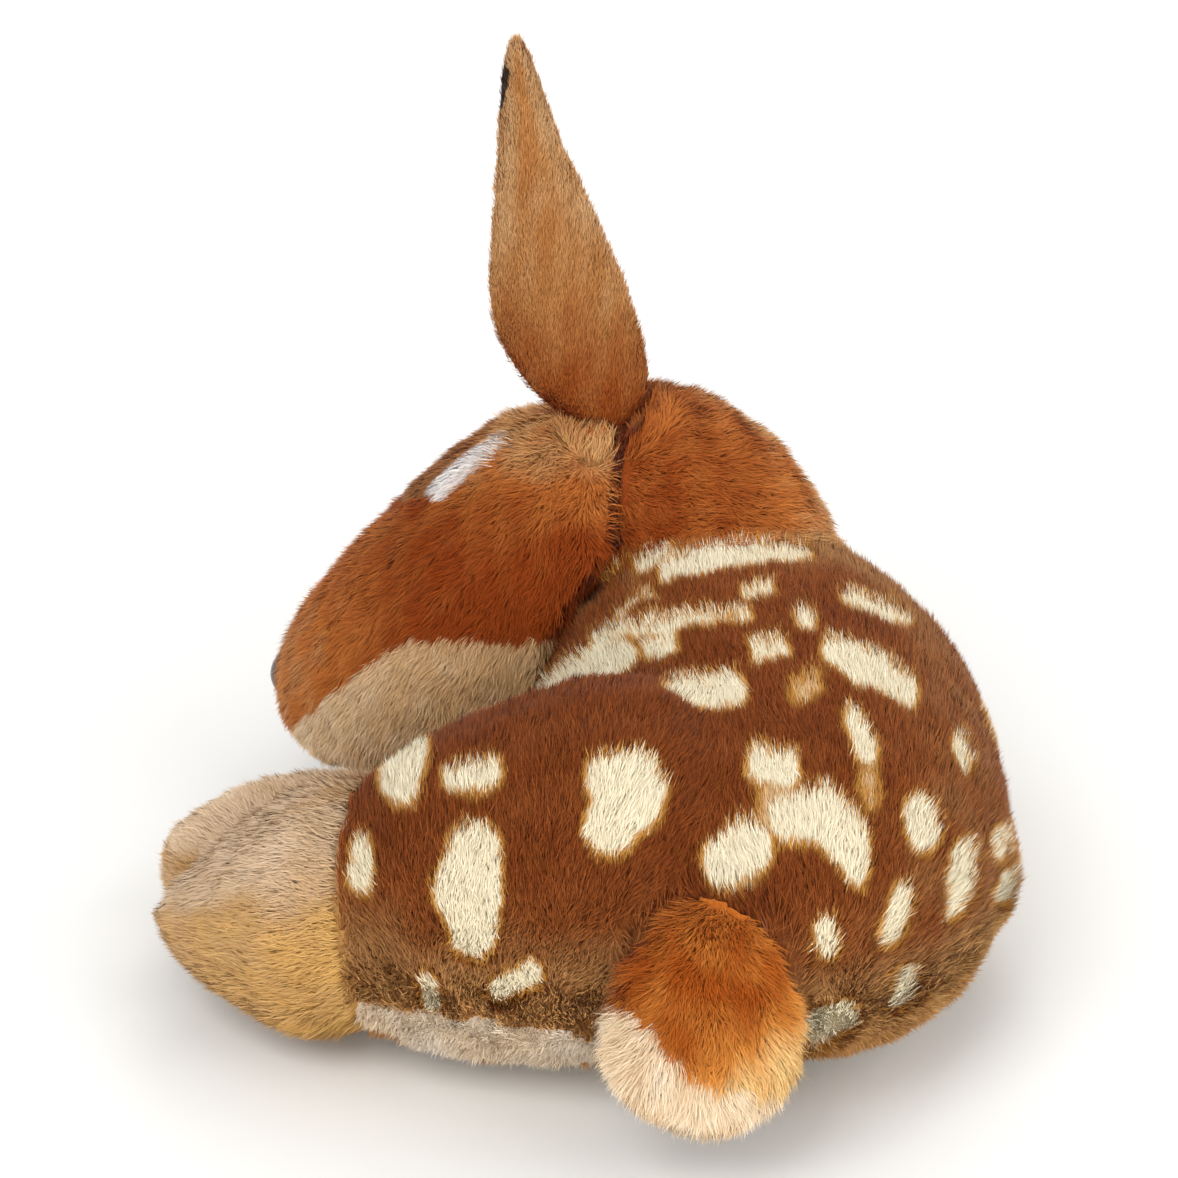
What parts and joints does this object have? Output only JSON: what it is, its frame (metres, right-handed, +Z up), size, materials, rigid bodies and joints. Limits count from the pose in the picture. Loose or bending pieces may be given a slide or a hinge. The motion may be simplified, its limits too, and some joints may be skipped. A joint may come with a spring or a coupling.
{
  "type": "plush fawn",
  "caption": "Stuffed plush fawn lying curled with its head turned back beside its haunch, one long ear raised and a short flap tail.",
  "frame": {"origin": "on the ground under the middle of the whole toy", "axes": "+Z up, +X to the right when the rump is towards the viewer, -Y towards the tail"},
  "size_m": [0.2016, 0.294, 0.2023],
  "materials": {
    "brown_plush": "short dense pile",
    "rust_plush": "short dense pile",
    "tan_plush": "short dense pile",
    "cream_plush": "short dense pile",
    "orange_plush": "longer soft pile",
    "polyester_fibre": "loose fibre filling",
    "black_plastic": "polished",
    "white_plastic": "moulded, matt"
  },
  "bodies": {
    "trunk": {"back_panel": "brown_plush", "belly_panel": "cream_plush", "torso_filling": "polyester_fibre", "neck": "rust_plush", "haunch_left": "brown_plush", "haunch_right": "brown_plush", "hock_left": "tan_plush", "hock_right": "tan_plush", "hind_foot_left": "tan_plush", "hind_foot_right": "tan_plush", "fore_leg_left": "tan_plush", "fore_leg_right": "tan_plush"},
    "head": {"head_cover": "rust_plush", "chin_panel": "cream_plush", "head_filling": "polyester_fibre", "nose": "black_plastic", "nose_washer": "white_plastic", "eye_patch_left": "cream_plush", "eye_patch_right": "cream_plush", "eye_left": "black_plastic", "eye_right": "black_plastic", "eye_washer_left": "white_plastic", "eye_washer_right": "white_plastic"},
    "ear_left": {"ear_left_back": "tan_plush", "ear_left_lining": "cream_plush"},
    "ear_right": {"ear_right_back": "tan_plush", "ear_right_lining": "cream_plush"},
    "tail": {"tail_top": "orange_plush", "tail_underside": "cream_plush"}
  },
  "joints": [
    {"name": "head_turn", "type": "hinge", "parent": "trunk", "child": "head", "pos_m": [0.00559, 0.02857, 0.08796], "axis": [-0.9903, 0, 0.1392], "range_deg": [-8, 6], "stiffness_Nm_per_rad": 0.8},
    {"name": "ear_left_bend", "type": "hinge", "parent": "head", "child": "ear_left", "pos_m": [0.00701, 0.02564, 0.10931], "axis": [1, 0, 0], "range_deg": [-20, 20], "stiffness_Nm_per_rad": 0.1},
    {"name": "ear_right_bend", "type": "hinge", "parent": "head", "child": "ear_right", "pos_m": [0.00954, 0.05494, 0.08224], "axis": [0.8522, 0.1769, 0.4924], "range_deg": [-20, 20], "stiffness_Nm_per_rad": 0.1},
    {"name": "tail_lift", "type": "hinge", "parent": "trunk", "child": "tail", "pos_m": [0.0376, -0.11148, 0.05693], "axis": [-1, 0, 0], "range_deg": [0, 60], "stiffness_Nm_per_rad": 0.03}
  ]
}
